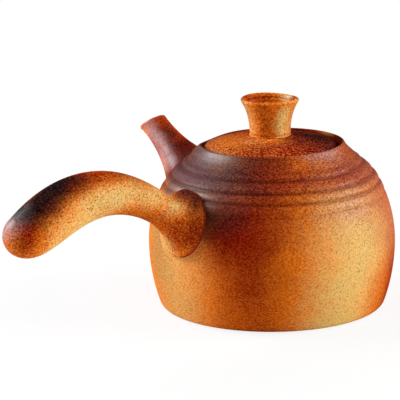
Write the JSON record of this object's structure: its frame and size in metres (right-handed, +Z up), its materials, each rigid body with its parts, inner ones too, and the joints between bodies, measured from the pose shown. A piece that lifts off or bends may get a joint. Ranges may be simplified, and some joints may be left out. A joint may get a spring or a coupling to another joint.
{
  "type": "side-handle kettle",
  "caption": "Round clay kettle with a short spout, a hollow curved side handle and a loose domed lid with a cup-shaped knob that drops into the mouth.",
  "frame": {"origin": "on the pot's axis, in the plane of the foot it stands on", "axes": "+Z up along the pot's axis, +X along the spout, the handle 83 degrees round towards +Y"},
  "size_m": [0.1679, 0.2541, 0.1185],
  "materials": {
    "pot_clay": "unglazed, wood-fired orange with a smoky shoulder",
    "spout_clay": "unglazed, dark red-brown",
    "handle_clay": "unglazed, orange with a scorched top",
    "lid_clay": "unglazed, orange-brown",
    "knob_clay": "unglazed, golden ochre",
    "slip": "fired joining slip"
  },
  "bodies": {
    "pot": {"pot_body": "pot_clay", "spout": "spout_clay", "spout_slip": "slip", "handle": "handle_clay", "handle_slip": "slip"},
    "lid": {"lid_plate": "lid_clay", "lid_ring": "lid_clay", "lid_ring_slip": "slip", "lid_knob": "knob_clay", "knob_slip": "slip"}
  },
  "joints": [
    {"name": "lid_lift", "type": "slide", "parent": "pot", "child": "lid", "axis": [0, 0, 1], "range_m": [0, 0.05]}
  ]
}
